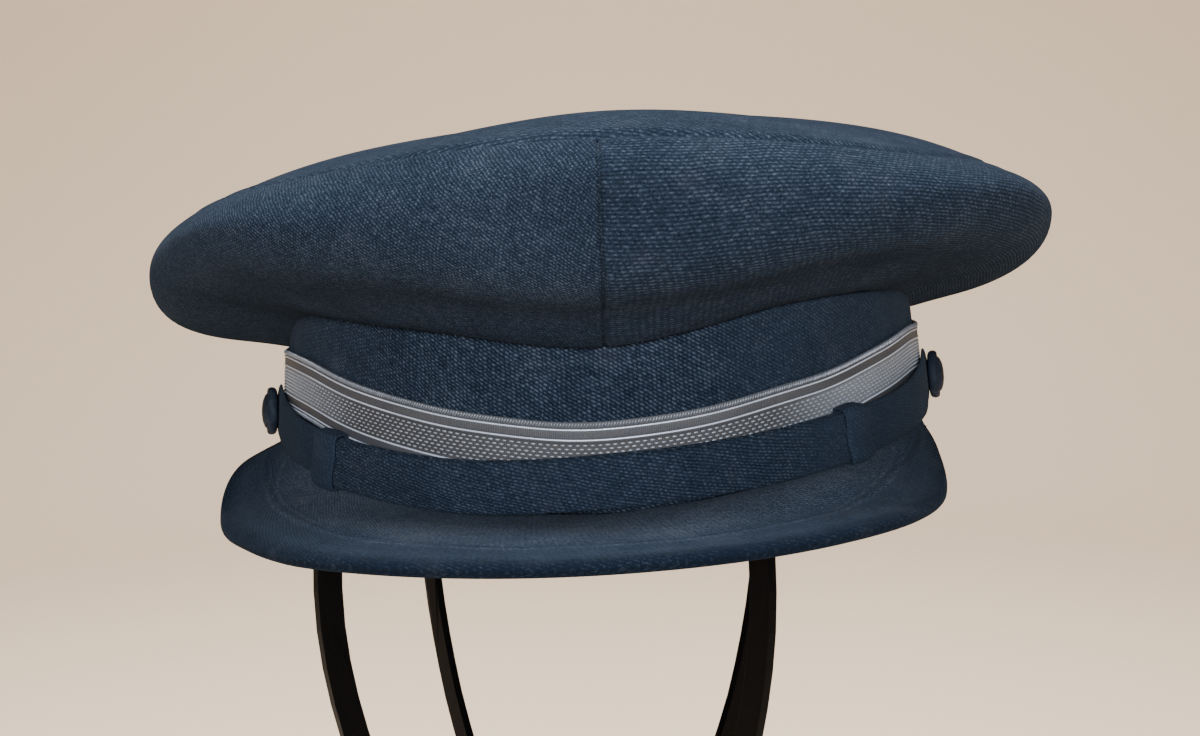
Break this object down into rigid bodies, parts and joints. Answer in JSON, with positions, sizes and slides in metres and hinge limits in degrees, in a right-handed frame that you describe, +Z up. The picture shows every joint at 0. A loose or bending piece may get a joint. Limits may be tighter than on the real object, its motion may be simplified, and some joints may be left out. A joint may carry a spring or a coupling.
{
  "type": "military peaked cap on a plain folding hat stand",
  "caption": "Peaked cap in dark wool serge with a woven lace band, cloth chin strap and side buttons, resting on a plain black folding hat stand with a round base.",
  "frame": {"origin": "middle of the stand's underside, on the surface it stands on", "axes": "+Z up, the cap's peak toward -Y, +X to the right of someone facing the cap"},
  "size_m": [0.2418, 0.2558, 0.335],
  "materials": {
    "wool": "matte dark blue-grey wool serge with a fine diagonal twill",
    "lace": "silver-grey woven lace with braided edges",
    "button": "dark blue-grey, satin",
    "stand_plastic": "black, slightly glossy moulded plastic"
  },
  "bodies": {
    "root": {"crown_top": "wool", "crown_front_right": "wool", "crown_back_right": "wool", "crown_back_left": "wool", "crown_front_left": "wool", "band": "wool", "lace_band": "lace", "visor": "wool", "chin_strap_left": "wool", "chin_strap_right": "wool", "strap_keeper_left": "wool", "strap_keeper_right": "wool", "side_button_left": "button", "side_button_right": "button", "stand_base": "stand_plastic", "stand_frame_a": "stand_plastic", "stand_frame_b": "stand_plastic"}
  },
  "joints": []
}
